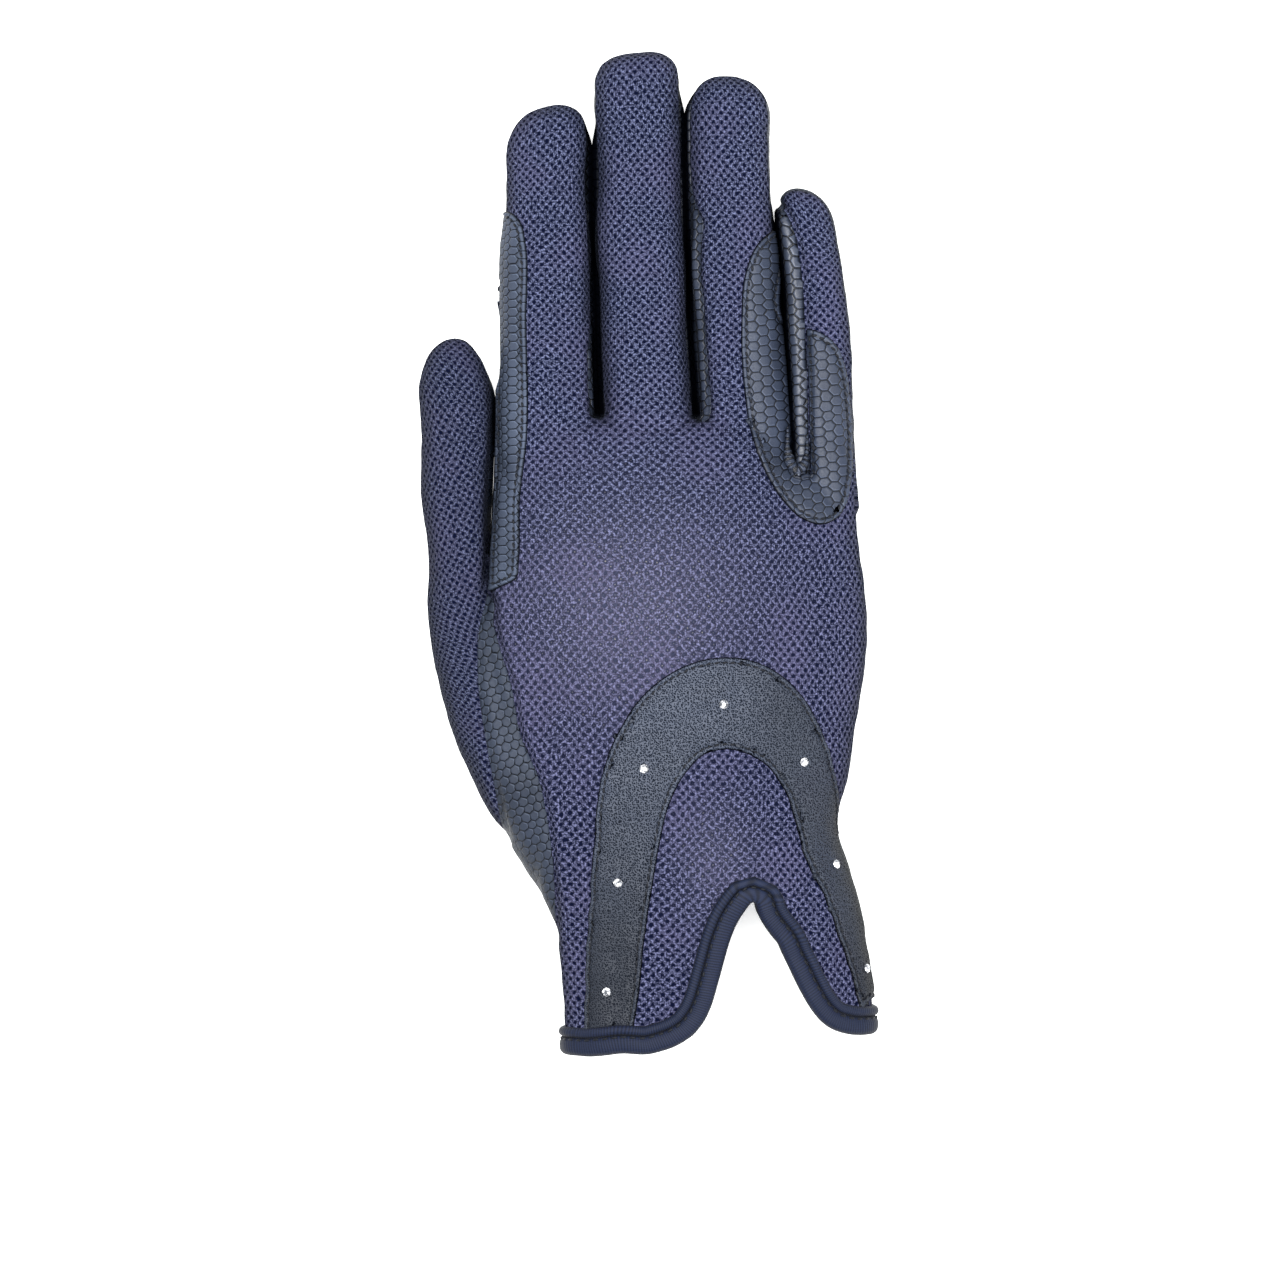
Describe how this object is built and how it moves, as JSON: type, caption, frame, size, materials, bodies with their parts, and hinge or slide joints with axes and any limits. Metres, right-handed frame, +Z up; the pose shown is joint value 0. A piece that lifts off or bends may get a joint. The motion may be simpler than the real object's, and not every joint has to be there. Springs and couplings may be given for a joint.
{
  "type": "riding glove",
  "caption": "Right-hand riding glove with mesh back, leather palm and patches, a stoned wrist horseshoe and a notched elastic cuff.",
  "frame": {"origin": "middle of the glove's footprint, on the surface that it lies on", "axes": "+Y towards the fingertips, +X towards the little finger, +Z up out of the back of the hand"},
  "size_m": [0.106, 0.2306, 0.0309],
  "materials": {
    "mesh_cloth": "open knitted mesh, matt, navy",
    "embossed_leather": "hexagon-embossed synthetic leather, semi-matt, dark slate",
    "smooth_leather": "fine-grained synthetic leather, semi-matt, dark slate",
    "ribbed_tape": "finely ribbed stretch tape, satin, navy",
    "cut_glass": "clear faceted glass"
  },
  "bodies": {
    "root": {"back_panel": "mesh_cloth", "palm_panel": "embossed_leather", "gusset_index_middle": "embossed_leather", "gusset_middle_ring": "embossed_leather", "gusset_ring_little": "embossed_leather", "thumb_back": "mesh_cloth", "thumb_front": "embossed_leather", "index_patch": "embossed_leather", "saddle_patch": "embossed_leather", "fork_loop": "embossed_leather", "horseshoe_band": "smooth_leather", "cuff_tape": "ribbed_tape", "cuff_piping": "ribbed_tape", "stone_1": "cut_glass", "stone_2": "cut_glass", "stone_3": "cut_glass", "stone_4": "cut_glass", "stone_5": "cut_glass", "stone_6": "cut_glass", "stone_7": "cut_glass"}
  },
  "joints": []
}
